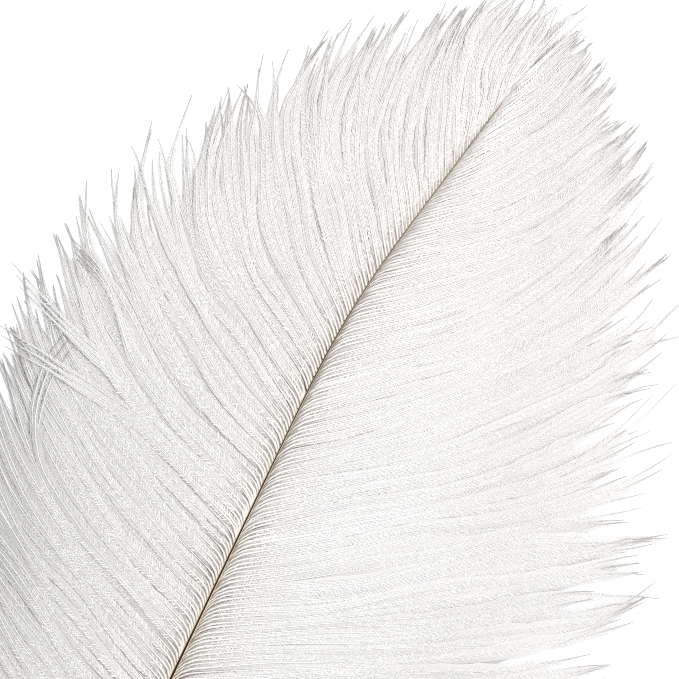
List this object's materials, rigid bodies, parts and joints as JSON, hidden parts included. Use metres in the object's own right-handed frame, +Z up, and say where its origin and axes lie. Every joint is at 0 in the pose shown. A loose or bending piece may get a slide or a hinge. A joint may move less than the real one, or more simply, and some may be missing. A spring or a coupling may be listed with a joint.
{
  "type": "ostrich feather",
  "caption": "White ostrich plume lying flat: a tapering brown-lined shaft with a bare quill end and two broad, loose vanes that part into soft pointed locks.",
  "frame": {"origin": "middle of the feather's box in plan, on the table it lies on", "axes": "+Z up from the table, +Y from the quill to the tip, +X toward the wider vane"},
  "size_m": [0.1618, 0.3392, 0.0095],
  "materials": {
    "shaft": "horny keratin, tan with a brown line on top, ivory at the quill",
    "vane": "soft white barbs and barbules, slightly see-through at their tips"
  },
  "bodies": {
    "root": {"shaft": "shaft", "left_vane": "vane", "right_vane": "vane"}
  },
  "joints": []
}
